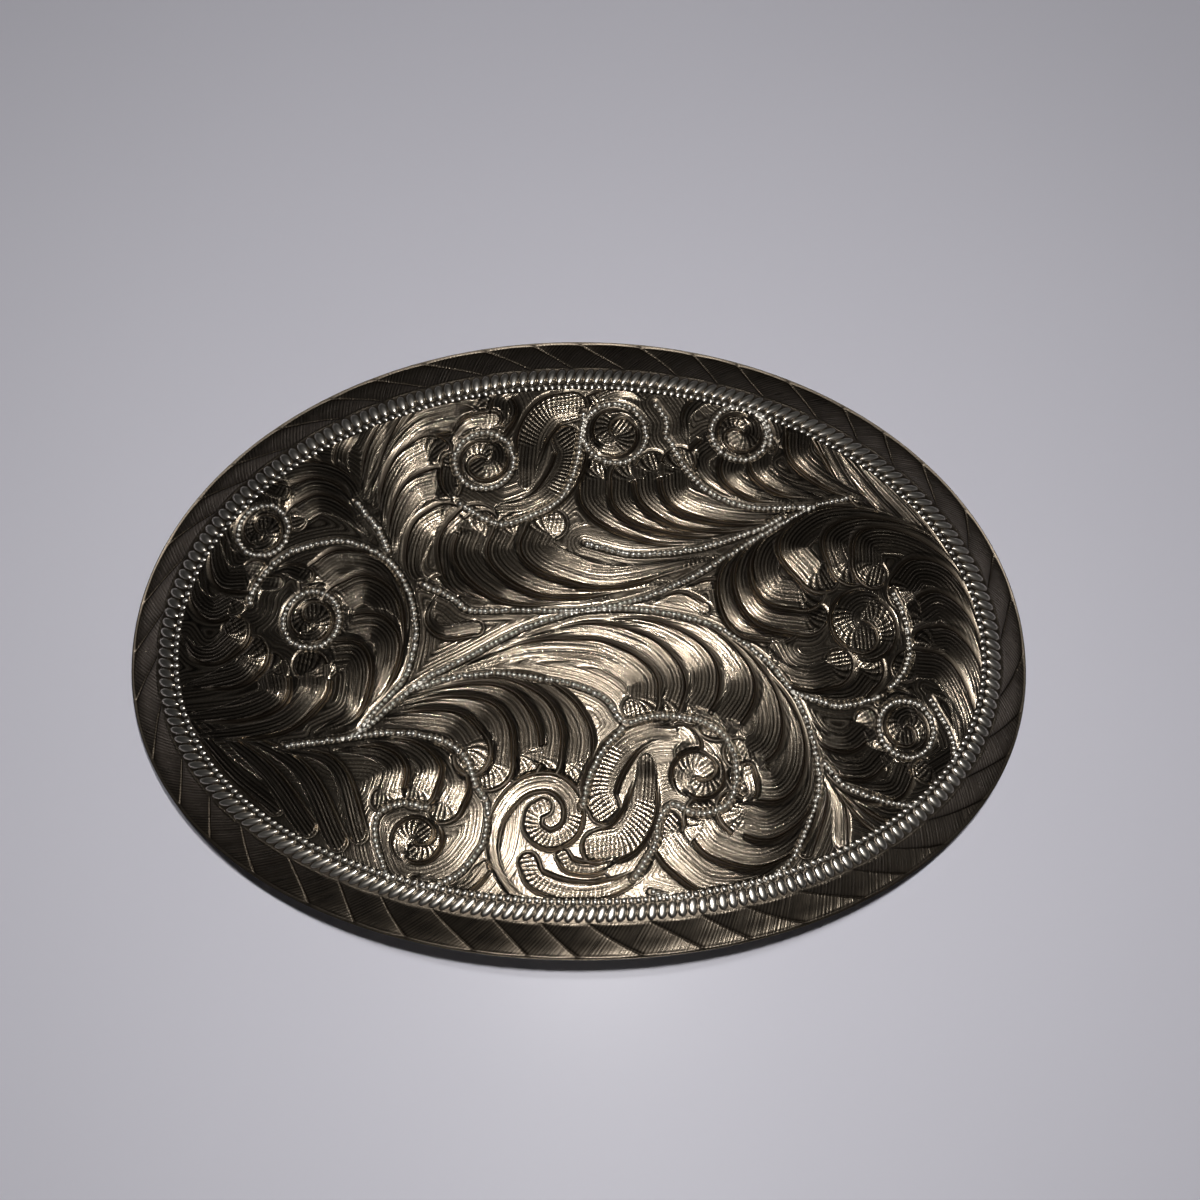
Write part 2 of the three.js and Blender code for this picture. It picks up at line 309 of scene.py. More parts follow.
# Each scroll is a list of leaves from the outermost to the innermost: points from tail to head
LOWER_SCROLL = [
    [(22, -13.5), (21, -18.6), (17, -23.3), (12, -24), (9, -22), (7.5, -20)],
    [(20.6, -7), (22, -13), (20.5, -19), (16.5, -21.5), (12.5, -20.5), (11, -18.8)],
    [(17.4, -3), (21, -9), (21.6, -13), (20.5, -16.5), (17.5, -18.6), (14.8, -18)],
    [(13.5, 0), (18, -5), (20, -9), (20, -12.5), (18.5, -14.8), (16, -14.8)],
    [(8.5, 1.4), (14, -1), (17, -4.5), (18, -8), (17.5, -10.5), (16, -11.8)],
    [(3, 1.6), (9, 1.2), (12.5, -0.5), (15, -3.5), (15.2, -6), (13.5, -8.6)],
    [(-2, 0.6), (5, 0.8), (9.2, -0.7), (11.5, -3), (11.6, -5.5), (10.5, -7.4)],
    [(-7.5, -1.2), (0, 0.2), (5, -1), (7.5, -3), (8.3, -5), (7.8, -6.8)],
    [(-13, -3.9), (-6, -1.7), (0, -1.6), (3, -2.5), (5.5, -4.5), (5.7, -6.6)],
    [(-16.5, -5.9), (-12, -5), (-6, -5), (-2.5, -7), (-0.8, -10), (-1, -13)],
    [(-18.5, -7), (-15, -5.9), (-9, -5.2), (-5, -7), (-3.6, -9.5), (-3.8, -12.5)],
    [(-20, -7.9), (-18, -6.8), (-12, -5.9), (-8, -6.5), (-6, -9), (-5.6, -12)],
    [(-19, -7.5), (-14, -6.9), (-10, -7.5), (-8.3, -9.5), (-8.3, -13)],
    [(-20, -8.3), (-16, -8.3), (-12.5, -9), (-10.8, -11)],
]
UPPER_SCROLL = [
    [(-21.5, 14), (-19, 20), (-16.5, 23.8), (-13, 25.5)],
    [(-14, 25.6), (-10, 25.3), (-8, 23.5), (-9, 21.8)],
    [(-20.5, 15), (-18, 20.5), (-15, 23.8), (-11, 24)],
    [(-21, 13.5), (-19, 18.5), (-16.5, 21.6), (-13, 22.6)],
    [(-20, 11), (-19.5, 15), (-18, 18), (-16, 19.3)],
    [(-19, 8), (-18.5, 12), (-17, 15), (-15, 15.8)],
    [(-14.2, 4.8), (-16.4, 6), (-16.8, 8), (-16, 10.8), (-14.3, 12)],
    [(-8.6, 3.2), (-12.3, 5), (-13.2, 7.5), (-13, 9.8), (-11.5, 11.5)],
    [(2, 3.6), (-6, 3.7), (-9.5, 5.3), (-11.6, 8), (-11, 10.6)],
    [(8, 5.3), (-1, 4.5), (-5.5, 5.5), (-8.2, 8), (-7.6, 10.3)],
    [(13, 8), (3, 5.7), (-2, 6.7), (-4.8, 8.5), (-4.3, 10.5)],
    [(13.4, 9.7), (8, 9.9), (3.5, 11.5), (1, 13.5), (0.8, 16)],
    [(17.6, 11.4), (12, 10.9), (7, 11.8), (4.2, 13.5), (4, 16)],
    [(20.6, 12.6), (15, 11.5), (10, 12), (6.8, 14), (6.3, 16.6)],
    [(22.6, 13.4), (18, 12.4), (13, 12.8), (9.5, 14.3), (9, 17)],
]
LEFT_SCROLL = [
    [(-18.6, -3.4), (-17.8, 1.4), (-20, 6.6), (-24, 7.8), (-26.3, 6.5)],
    [(-20.6, -6.7), (-18.6, -2), (-19.2, 3), (-21.5, 5), (-23.8, 4.2)],
    [(-22.6, -8.6), (-19.8, -5), (-19, -1), (-20.5, 1), (-23.3, 0.8)],
    [(-26, -9.4), (-22.6, -7.6), (-21.8, -4), (-22.5, -1.8), (-24.5, -1.7)],
    [(-38, -9.2), (-33, -9), (-29, -8), (-26.5, -5.5), (-26.3, -3.5)],
    [(-40, -7.4), (-36, -7.2), (-33, -6.8), (-30.3, -5.5), (-30.5, -3.2)],
    [(-39.5, -4), (-37, -3.8), (-34, -3.2), (-32.8, -2)],
    [(-40, 1), (-38.5, -0.8), (-36.5, -1), (-34.8, 0.3)],
    [(-39.5, 8), (-38.8, 5), (-37, 3.5), (-35, 4.3)],
    [(-37.3, 12.5), (-37, 9), (-36, 6.8), (-33.8, 6.5)],
]
RIGHT_SCROLL = [
    [(19.5, -4), (22.5, -5.6), (26, -5.5), (28, -3.5)],
    [(18, -1), (19.5, -3.5), (22, -4.3), (24.5, -3.5)],
    [(23, 12.7), (16.5, 9), (14.2, 5.5), (15.4, 1.4), (19, 0.8)],
    [(25, 12.9), (18, 9.8), (15.8, 6.2), (17.4, 2.4), (21.8, 1.6)],
    [(27.5, 13.1), (20, 10.5), (17.8, 7.6), (18.6, 4.8), (21.5, 4.3)],
    [(34, 12.4), (29, 13.3), (24, 12.6), (20.8, 9.5), (22.8, 6.6)],
    [(38, 8.6), (34.6, 11.4), (29, 12), (25.5, 10.5), (26, 7.8)],
    [(39.8, 3.4), (37.6, 8), (33, 10.5), (29, 10.5), (28.5, 8)],
    [(40.4, -2), (39.5, 3), (37, 7), (34, 7.7), (32.3, 6)],
    [(40, -6.4), (39.8, -1), (38.5, 2.5), (36, 4.3), (33.8, 3)],
    [(38.4, -11), (39.7, -5.6), (39, -2), (37, 0.3), (35, 0.3)],
    [(35.8, -15), (38.4, -9.6), (38, -6), (36, -2.5), (33, -2)],
]
SMALL_SCROLLS = [
    [(-17, -10.2), (-13.5, -11.8), (-12, -14.5), (-12.8, -16.8)],
    [(-21, -10.3), (-17, -11), (-14.8, -13), (-15.4, -15.3)],
    [(-24, -11.2), (-20, -11.5), (-18, -13), (-18.5, -15.5)],
    [(-22, 13.5), (-24, 16.5), (-27, 17.8), (-30, 17.5)],
    [(-22.5, 12.5), (-24.5, 15), (-27, 16), (-29, 15.3)],
    [(-21.5, 10.5), (-24, 13), (-26.5, 14.2), (-28.5, 13.3)],
    [(17, 14), (14, 15), (12, 16.5), (11.5, 18.5), (13, 20)],
    [(21, 14.2), (17, 15), (14.8, 16.8), (15.3, 18.8)],
    [(24, 14.8), (20.5, 15.5), (18, 17.2), (17.8, 19.3)],
    [(30, 14.5), (25, 16.5), (22, 19), (21.8, 21.8)],
    [(22.8, -10.6), (23.6, -13.2), (26.4, -15), (30, -15), (31.5, -12.5)],
    [(22, -10), (24, -12.8), (27, -13.2), (29, -11.5)],
    [(21.5, -8), (23, -10), (25.5, -10.5), (27.5, -9)],
    [(34, -4.5), (37, -6), (37.5, -10.5), (34.3, -13)],
]

# Eyes: centre, radius, angle where the curls start, which way they wind in, and whether beads ring them
EYES = [
    ((-26.9, 2.0), 2.6, 60, 1, True),
    ((-32.3, 11.6), 2.4, 60, 1, True),
    ((-10, 18), 2.7, 250, -1, True),
    ((3.1, 20.9), 2.9, 20, 1, True),
    ((15.8, 21.3), 2.6, 250, -1, True),
    ((27.9, 1.6), 4.1, 240, 1, False),
    ((31.8, -8.8), 2.6, 240, 1, True),
    ((10.8, -13.9), 2.9, 70, -1, False),
    ((-15.9, -20), 2.7, 70, -1, False),
]

# Broad ribbons that tie two eyes together, one interlocked pair in the lower scroll and one in the upper
RIBBON_PAIR = [
    ([(8.6, -9.7), (6.2, -9.8), (3.7, -10.9), (1.9, -13.2), (1.2, -15.6), (1.8, -17.2)], 1.5),
    ([(5.8, -12.2), (5.7, -15.2), (5.2, -18), (3.6, -20.2), (1.2, -20.8)], 1.6),
]
UPPER_PAIR_SHIFT = 3

# Long spirals wound into an eye of their own, from the tail at the border to the middle
SPIRALS = [
    ([(-2.4, -26.4), (-6.4, -25.4), (-8.6, -22), (-8.4, -18.2), (-6.2, -15.2), (-3.2, -14.6), (-1.2, -16.4),
      (-1.3, -19), (-3.2, -20.2), (-4.9, -19.2), (-4.9, -17.6), (-4, -17)], 0.95),
    ([(6.4, -20), (5.4, -22.9), (2, -24.8), (-1.6, -25), (-4.6, -23.9), (-5.4, -22.2)], 1.0),
    ([(3.2, -21.9), (0.8, -22.9), (-1.4, -22.6), (-2.2, -21.6)], 0.7),
]

BEAD_LINES = [
    [(-33.2, 3.8), (-33.2, 5), (-31.5, 7.5), (-29.5, 9), (-27, 9.8), (-23.75, 10), (-20.5, 8.5),
     (-18.75, 7), (-17.1, 3.9), (-16.5, 0), (-17.4, -4), (-19, -6), (-20.75, -8), (-21.7, -9.5)],
    [(-22.9, 14.1), (-21.4, 12.25), (-20.4, 11), (-19.4, 8.6)],
    [(-21.7, -9.5), (-22.9, -10), (-25, -10.25), (-29, -10.6)],
    [(-21.5, -9.4), (-16, -4.8), (-11.5, -2.4), (-6.5, 0.3), (-2.75, 1.6), (0, 2.3), (4.5, 2.5), (9.25, 1.9),
     (13, 0.75), (17, -1.75), (19.75, -4.75), (21.5, -8), (22.6, -13), (22, -17), (19, -22.5), (14, -25),
     (9, -25.6), (6, -25)],
    [(-17, -5.5), (-13, -4.4), (-8.5, -4), (-4.4, -4.5), (-0.75, -5.25), (2, -6.6), (3.75, -8.75),
     (6.5, -8.25), (9.25, -8.3), (11.75, -8.9), (13.6, -10.4), (14.5, -13.25), (13.6, -16.6),
     (10.75, -17.6), (8.25, -16.75), (7, -18.25), (6.5, -20.5), (4.5, -23.75)],
    [(3.75, -9.25), (1.5, -11.75), (0.25, -14.5), (-0.3, -17)],
    [(-23, -10), (-18, -9.6), (-14, -10.4), (-11.6, -12), (-10.4, -14.8), (-9.3, -16.8), (-9.6, -20),
     (-10.3, -21.3), (-12, -23.3), (-15, -24.5), (-18.2, -23.8), (-19.8, -20), (-19.6, -17.5),
     (-17.4, -16.5), (-14.8, -17)],
    [(-16, 5.2), (-13, 3.75), (-11.1, 2.4), (-6.5, 2.4), (0, 2.4), (5.6, 3.6), (9.9, 5.5), (14.4, 8.25),
     (19.25, 11.4), (23.25, 13.75), (27, 15)],
    [(-12.5, 13.6), (-9, 11.4), (-6.5, 11.6), (-2.75, 13.5), (-1.25, 16), (-0.6, 18.5), (0, 23.2)],
    [(0, 9.25), (5, 8.1), (11.5, 8.9), (17, 10.9), (20, 12.4)],
    [(7.2, 24.2), (8.4, 22.25), (8.25, 20.75), (8.9, 19.75), (10.25, 17.25), (12.75, 14.75), (16.75, 13.4),
     (23.1, 13.75)],
    [(18.9, 20), (19, 21.75), (17.6, 23.8), (14, 25.25)],
    [(20.5, -5.6), (24.75, -6.75), (28.4, -6), (29.25, -5.6)],
    [(31.2, 5.3), (32.2, 2.8), (32.6, -0.5), (31.9, -2.9), (30.2, -4.8)],
    [(34.5, -5.5), (36.7, -10), (36, -14.2), (33, -16.1), (30, -16.25), (25.4, -14.75), (23.1, -12.4)],
]

# Plain leaves that fill the ground between scrolls and border
FILLERS = [
    ([(22.4, -12.5), (23, -16), (21, -21)], 0.8),
    ([(22.6, -12.5), (24.5, -16.5), (24.5, -20.2)], 0.8),
    ([(23, -13), (26.5, -17), (28.6, -18.6)], 0.8),
    ([(24, -14.5), (29, -17.4), (32.2, -16.9)], 0.7),
    ([(-6, -26.2), (-1, -25.5), (1.5, -24)], 0.8),
    ([(-13.6, -25.3), (-11, -24.4), (-9.4, -22.6)], 0.7),
    ([(-41, -6.5), (-37, -12.5), (-33.2, -16)], 0.8),
    ([(-40, -6.3), (-34.5, -12.4), (-29.6, -16.4)], 1.0),
    ([(-38.5, -6.8), (-31, -12.6), (-26.4, -18.6)], 1.0),
    ([(-36, -8.2), (-27.6, -12.6), (-23.4, -20)], 1.0),
    ([(-30, -10.8), (-24, -12.6), (-21.4, -19.4)], 0.9),
    ([(41, 5), (37.4, 12.6), (31.6, 17.4)], 0.9),
    ([(40, 5.6), (34.6, 12.4), (27.6, 19.6)], 1.0),
    ([(38, 8), (31, 13.8), (25, 21)], 1.0),
    ([(36, 10.6), (28.2, 14.6), (23.6, 22.6)], 0.9),
    ([(-22.5, 13.6), (-24.6, 18.6), (-23.4, 21.8)], 0.8),
    ([(-22.2, 14.4), (-21.4, 19.6), (-18.8, 23.8)], 0.8),
    ([(-24, 16), (-28, 19.2), (-30, 19.2)], 0.7),
    ([(-14.6, 4), (-15.2, 1.6), (-13.6, 0.2), (-10.6, 0.6)], 0.8),
    ([(-16.4, 4.6), (-14.2, 5.6), (-12.6, 4.4)], 0.6),
    ([(6.4, 3), (9.4, 3.8), (11.8, 2.6)], 0.7),
    ([(9.6, 4.6), (12.8, 5.2), (14, 3.6)], 0.6),
    ([(14, 3), (15.2, 1), (17.6, -0.4)], 0.6),
    ([(9.5, 27), (12.6, 26.2), (11.2, 24.6)], 0.7),
    ([(7, 27.2), (4.6, 26.4), (2.4, 24.8)], 0.7),
    ([(-6, 26.8), (-3.4, 26.2), (-2.6, 24.8)], 0.6),
    ([(19.6, 23.8), (21, 22.4), (20.4, 20.4)], 0.6),
]

# Short curled leaves round the eyes
CURLS = [
    ([(7.2, -9.6), (9.4, -9.5), (10.4, -10.9), (9.4, -11.8)], 0.9),
    ([(-6.4, 25.6), (-8.4, 24.6), (-8.6, 22.6)], 1.0),
    ([(-12.6, 13.4), (-13.6, 15.6), (-13.4, 18)], 0.9),
    ([(-13.6, 19.6), (-11.8, 22), (-9.2, 22.4)], 0.9),
    ([(6.2, 24.6), (3.6, 25.4), (0.8, 24.2)], 0.9),
    ([(10.5, 20), (10.4, 23), (12.2, 25), (14.6, 25.4)], 0.8),
    ([(-11.2, -23), (-13.2, -24.2), (-16, -23.9)], 0.7),
    ([(-31, 7), (-29.4, 7.4), (-27.6, 6.6)], 0.8),
    ([(-32.6, 4), (-32.4, 6), (-30.6, 6)], 0.8),
    ([(-35, 9.6), (-36, 12), (-34.6, 14.6)], 0.8),
    ([(-34.6, 15), (-32.8, 16.4), (-30.4, 15.6)], 0.8),
    ([(33, -5.6), (30.8, -5.2), (29.2, -6.2)], 0.7),
    ([(14.6, -16.6), (16, -15.6), (15.6, -13.4)], 0.7),
]


def rim_place(x, y):
    """Inset from the plate's outline, and the way round it, both in millimetres."""
    power = OUTLINE_POWER
    a = np.abs(x) / HALF_LENGTH
    b = np.abs(y) / HALF_WIDTH
    total = np.maximum(a**power + b**power, 1e-9)
    level = total ** (1 / power)
    slope_x = level ** (1 - power) * a ** (power - 1) / HALF_LENGTH
    slope_y = level ** (1 - power) * b ** (power - 1) / HALF_WIDTH
    inset = (1 - level) / np.hypot(slope_x, slope_y)
    angle = np.arctan2(y / HALF_WIDTH, x / HALF_LENGTH)
    turn = np.linspace(-math.pi, math.pi, 721)
    oval_x = (HALF_LENGTH - 4) * np.cos(turn)
    oval_y = (HALF_WIDTH - 4) * np.sin(turn)
    round_way = arc_lengths(np.stack([oval_x, oval_y], 1))
    return inset, np.interp(angle, turn, round_way), round_way[-1]


def whole_pitch(length, pitch):
    return length / round(length / pitch)


def cut_border(relief):
    """Rope strands on the sloping rim, then a band of slanting ticks and a row of beads."""
    x, y = np.meshgrid(relief.x, relief.y)
    inset, way, length = rim_place(x, y)
    everywhere = (slice(None), slice(None))

    strand = whole_pitch(length, STRAND_PITCH)
    wander = 0.5 * np.sin(STRAND_WANDERS * 2 * math.pi * way / length)
    lean = -(way + 1.35 * inset + wander) / strand
    share = lean - np.floor(lean)
    body = 0.07 * np.sin(math.pi * np.clip(share * 1.12, 0, 1)) ** 0.7
    cut = ease(0.9, 0.97, share) - ease(0.97, 1.0, share)
    fade = ease(0, 0.5, inset) * (1 - ease(RIM_WIDTH - 0.3, RIM_WIDTH + 0.1, inset))
    lines = (way - 0.75 * inset) / whole_pitch(length, LINE_PITCH)
    wave = fade * fine_lines(lines)
    rope = (body - 0.11 * cut) * fade + RIM_LINE_DEPTH * wave - 0.19
    relief.paint(everywhere, inset < RIM_WIDTH, height=rope, phase=lines, wave=0.45 * wave,
                 strength=0.8 * fade)

    tick = whole_pitch(length, TICK_PITCH)
    step = -(way - 0.35 * (inset - TICK_MIDDLE)) / tick
    share = step - np.floor(step)
    depth = inset - RIM_WIDTH
    ridge = np.clip(1 - ((share - 0.5) / 0.46) ** 2 - ((depth - 0.88) / 0.78) ** 2, 0, 1) ** 0.38
    tooth = -0.2 + 0.26 * ridge
    band = (inset >= RIM_WIDTH) & (inset < TICK_BAND)
    relief.paint(everywhere, band, height=tooth, phase=0.0, strength=0.0, wave=0.0,
                 polish=0.6 * ease(-0.12, 0.0, tooth))
    ledge = -0.16 + 0.14 * ease(5.35, RIM_BAND + 0.2, inset)
    shelf = (inset >= TICK_BAND) & (inset < RIM_BAND)
    relief.paint(everywhere, shelf, height=ledge, strength=0.1, wave=0.0)

    bead = whole_pitch(length, EDGE_BEAD_PITCH)
    share = way / bead - np.floor(way / bead)
    rise = EDGE_BEAD_RADIUS**2 - ((share - 0.5) * bead) ** 2 - (inset - EDGE_BEAD_ROW) ** 2
    dome = BEAD_SLOPE * rise / EDGE_BEAD_RADIUS - 0.05
    relief.paint(everywhere, rise > 0, height=np.maximum(dome, relief.height), strength=0.0, wave=0.0,
                 polish=0.8)


def cut_relief():
    relief = Relief()
    scrolls = [SMALL_SCROLLS, LEFT_SCROLL, RIGHT_SCROLL, UPPER_SCROLL, LOWER_SCROLL]
    for points in [leaf for scroll in scrolls for leaf in scroll] + BEAD_LINES:
        relief.ground(points)
    relief.ground_lines()
    for points, radius in FILLERS:
        relief.leaf(points, radius, depth=0.28, spread=0.6, hatch=False)
    for scroll, radius in zip(scrolls, (1.25, 1.55, 1.6, 1.6, 1.65)):
        for points in scroll:
            size = radius * relief.random.uniform(0.9, 1.02)
            relief.leaf(hooked(points, HOOK_TURN, 0.8 * radius), size)
    for points, radius in CURLS:
        relief.leaf(points, radius, depth=0.3, spread=0.5)
    for points, radius in RIBBON_PAIR:
        turned = [(-px, UPPER_PAIR_SHIFT - py) for px, py in points]
        for ribbon in (points, turned):
            relief.leaf(ribbon, radius, both=True, taper=0.25, spread=0.7, crown=0.14, comb_reach=4.5)
    for points, radius in SPIRALS:
        relief.leaf(points, radius, both=True, taper=0.45, spread=0.5, crown=0.14, depth=0.26, comb_reach=9)
    for eye in EYES:
        relief.eye(*eye)
    for points in BEAD_LINES:
        relief.beads(points)
    cut_border(relief)
    return relief


# ---- mesh helpers

def bent(x, y, h):
    """Wraps a flat point, h above the back, onto the plate's bend."""
    turn = np.arcsin(x / (BACK_RADIUS + EDGE_HEIGHT))
    reach = BACK_RADIUS + h
    return np.stack([reach * np.sin(turn), y + 0 * x, reach * np.cos(turn) + AXIS_HEIGHT], -1)


def add_object(name, data):
    thing = bpy.data.objects.new(name, data)
    bpy.context.scene.collection.objects.link(thing)
    return thing


def place_piece(mesh, body, replaces, material):
    """Puts a mesh in the scene as a piece of its body."""
    piece = add_object(mesh.name, mesh)
    piece.data.materials.append(material)
    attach(piece, body)
    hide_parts(*replaces)
    return piece


def add_piece(name, points, faces, body, replaces, material):
    """A smooth piece from millimetre points, doubled points merged and all faces turned outwards."""
    mesh = bpy.data.meshes.new(name)
    mesh.from_pydata((np.asarray(points) * MM).tolist(), [], [list(map(int, f)) for f in faces])
    work = bmesh.new()
    work.from_mesh(mesh)
    bmesh.ops.remove_doubles(work, verts=work.verts, dist=1e-7)
    bmesh.ops.dissolve_degenerate(work, edges=work.edges, dist=1e-7)
    bmesh.ops.recalc_face_normals(work, faces=work.faces)
    work.to_mesh(mesh)
    work.free()
    mesh.shade_smooth()
    place_piece(mesh, body, replaces, material)


def ring_faces(rows, count, start=0):
    """Quads between neighbouring rings of count points each."""
    faces = []
    for row in range(rows - 1):
        base = start + row * count
        for i in range(count):
            j = (i + 1) % count
            faces.append((base + i, base + j, base + count + j, base + count + i))
    return faces


def capped_faces(rows, count):
    """Quads between neighbouring rings, with one flat face over each end ring."""
    ends = [tuple(range(count))[::-1], tuple(range((rows - 1) * count, rows * count))]
    return ring_faces(rows, count) + ends


def closed_ring_faces(rows, count):
    """Quads between neighbouring rings, with the last ring joined to the first."""
    last = (rows - 1) * count
    seam = [(last + i, last + (i + 1) % count, (i + 1) % count, i) for i in range(count)]
    return ring_faces(rows, count) + seam


# ---- engraved plate

def outline_scale(x, y):
    """Factor that carries the unit circle onto the plate's squarer outline, towards each point."""
    radius = np.maximum(np.hypot(x, y), 1e-9)
    a = np.abs(x) / radius
    b = np.abs(y) / radius
    return (a**OUTLINE_POWER + b**OUTLINE_POWER) ** (-1 / OUTLINE_POWER)


def sample(relief, field, x, y):
    """Bilinear reading of a relief field."""
    column = np.clip((x - relief.x[0]) / GRID_STEP, 0, len(relief.x) - 1.001)
    row = np.clip((y - relief.y[0]) / GRID_STEP, 0, len(relief.y) - 1.001)
    i = row.astype(int)
    j = column.astype(int)
    u = column - j
    v = row - i
    grid = getattr(relief, field)
    low = grid[i, j] * (1 - u) + grid[i, j + 1] * u
    high = grid[i + 1, j] * (1 - u) + grid[i + 1, j + 1] * u
    return low * (1 - v) + high * v


def face_points(relief):
    """The engraved face as a grid of points from edge to edge of the oval."""
    columns, rows = FACE_ROWS
    u, v = np.meshgrid(np.linspace(-1, 1, columns), np.linspace(-1, 1, rows))
    disc_x = u * np.sqrt(1 - v * v / 2)
    disc_y = v * np.sqrt(1 - u * u / 2)
    scale = outline_scale(disc_x, disc_y)
    x = HALF_LENGTH * disc_x * scale
    y = HALF_WIDTH * disc_y * scale
    inset = rim_place(x, y)[0]
    slope = RIM_DROP * ease(0, 1, np.clip(inset / RIM_WIDTH, 0, 1) * 0.5) * 2
    base = EDGE_HEIGHT + np.minimum(slope, RIM_DROP)
    height = base + sample(relief, "height", x, y) * ease(-0.05, 0.3, inset) - 0.12 * ease(1.5, 3.3, inset)
    return x, y, height


def quad_mesh(name, points, quads):
    """A mesh from arrays, quick enough for a million faces."""
    mesh = bpy.data.meshes.new(name)
    mesh.vertices.add(len(points))
    mesh.vertices.foreach_set("co", (points * MM).astype(np.float32).ravel())
    mesh.loops.add(quads.size)
    mesh.loops.foreach_set("vertex_index", quads.astype(np.int32).ravel())
    mesh.polygons.add(len(quads))
    mesh.polygons.foreach_set("loop_start", np.arange(0, quads.size, 4, dtype=np.int32))
    mesh.update(calc_edges=True)
    mesh.shade_smooth()
    return mesh


# Inset and height of each ring below the face: down the wall, round the chamfer, and over the back
WALL_RINGS = [(0.0, 0.62), (0.0, BACK_CHAMFER), (BACK_CHAMFER * 0.4, 0.08), (BACK_CHAMFER, 0.0)]
BACK_RINGS = [(inset, 0.0) for inset in (0.4, 0.6, 0.8, 1.05, 1.3, 1.6, 2.2, 3.5, 6, 9, 13, 18, 24, 29)]


def engraved_plate(relief, material):
    """The engraved face, the side wall, the chamfer and the back, as one closed mesh."""
    columns, rows = FACE_ROWS
    x, y, height = face_points(relief)
    face = bent(x, y, height).reshape(-1, 3)
    index = np.arange(rows * columns).reshape(rows, columns)
    quads = [np.stack([index[:-1, :-1], index[:-1, 1:], index[1:, 1:], index[1:, :-1]], -1).reshape(-1, 4)]
    border = np.concatenate([index[0, :-1], index[:-1, -1], index[-1, :0:-1], index[:0:-1, 0]])
    edge_x = x.ravel()[border]
    edge_y = y.ravel()[border]
    rings = []
    for inset, h in WALL_RINGS + BACK_RINGS:
        share = 1 - inset / HALF_WIDTH
        rings.append(bent(edge_x * share, edge_y * share, h))
    count = len(border)
    middle = bent(edge_x * 0, edge_y * 0, 0.0)[:1]
    points = np.concatenate([face, *rings, middle])
    back = points[len(face):]
    back[:, 2] = np.maximum(back[:, 2], 0.0)
    here = np.arange(count)
    after = np.roll(here, -1)
    start = len(face)
    quads.append(np.stack([border[after], border, start + here, start + after], -1))
    for row in range(len(rings) - 1):
        base = start + row * count
        quads.append(np.stack([base + after, base + here, base + count + here, base + count + after], -1))
    last = start + (len(rings) - 1) * count
    pairs = here[::2]
    hub = np.full(len(pairs), len(points) - 1)
    quads.append(np.stack([last + (pairs + 2) % count, last + (pairs + 1) % count, last + pairs, hub], -1))
    mesh = quad_mesh("engraved_face_plate", points, np.concatenate(quads))
    plate = place_piece(mesh, "plate", ["face_plate"], material)
    add_attributes(plate, relief, x.ravel(), y.ravel(), len(points), 2 * count)


def add_attributes(plate, relief, x, y, total, wall_count):
    """Line phase, strength and wave (the wave also sets painted shade in the line valleys), tarnish in the
    cuts with painted shade on the side wall, and polish at every point of the plate, for its material.
    """
    face_count = len(x)
    level = sample(relief, "height", x, y)
    values = {
        "line_phase": sample(relief, "phase", x, y),
        "line_strength": sample(relief, "strength", x, y),
        "tarnish_and_wall_shade": ease(-0.03, -0.31, level),
        "polish": sample(relief, "polish", x, y),
        "line_wave": sample(relief, "wave", x, y),
        "engraved": np.ones(face_count),
    }
    for name, value in values.items():
        padded = np.zeros(total)
        padded[:face_count] = value
        # Painted shade: the side wall gets a high tarnish value so that it renders dark, as if in shadow
        if name == "tarnish_and_wall_shade":
            padded[face_count:face_count + wall_count] = WALL_PAINTED_SHADE
        attribute = plate.data.attributes.new(name, "FLOAT", "POINT")
        attribute.data.foreach_set("value", padded.astype(np.float32))


# ---- materials

class Nodes:
    """Short calls for building a node material."""

    def __init__(self, name):
        self.material = bpy.data.materials.new(name)
        self.material.use_nodes = True
        self.tree = self.material.node_tree
        self.shader = self.tree.nodes["Principled BSDF"]

    def add(self, kind, inputs=(), **settings):
        node = self.tree.nodes.new(kind)
        for name, value in settings.items():
            setattr(node, name, value)
        for name, value in dict(inputs).items():
            self.put(node.inputs[name], value)
        return node

    def put(self, socket, value):
        if isinstance(value, bpy.types.NodeSocket):
            self.tree.links.new(value, socket)
        else:
            socket.default_value = value

    def math(self, operation, *values):
        return self.add("ShaderNodeMath", dict(enumerate(values)), operation=operation).outputs[0]

    def noise(self, scale, detail, stretch=(1, 1, 1)):
        place = self.add("ShaderNodeTexCoord").outputs["Object"]
        mapped = self.add("ShaderNodeMapping", {"Vector": place, "Scale": stretch}).outputs[0]
        inputs = {"Vector": mapped, "Scale": scale, "Detail": detail, "Roughness": 0.6}
        return self.add("ShaderNodeTexNoise", inputs).outputs["Fac"]

    def span(self, value, low, high, to_low=0.0, to_high=1.0):
        inputs = {"Value": value, "From Min": low, "From Max": high, "To Min": to_low, "To Max": to_high}
        return self.add("ShaderNodeMapRange", inputs).outputs[0]

    def attribute(self, name):
        return self.add("ShaderNodeAttribute", attribute_name=name).outputs["Fac"]

    def mix(self, factor, first, second):
        node = self.add("ShaderNodeMix", data_type="RGBA")
        self.put(node.inputs[0], factor)
        self.put(node.inputs[6], first)
        self.put(node.inputs[7], second)
        return node.outputs[2]

    def bump(self, height, distance, normal=None):
        inputs = {"Height": height, "Distance": distance}
        if normal is not None:
            inputs["Normal"] = normal
        return self.add("ShaderNodeBump", inputs).outputs[0]

    def finish_metal(self, colour, roughness, normal):
        return self.finish(Base_Color=colour, Metallic=1.0, Roughness=roughness, Normal=normal)

    def finish(self, **inputs):
        for name, value in inputs.items():
            self.put(self.shader.inputs[name.replace("_", " ")], value)
        return self.material


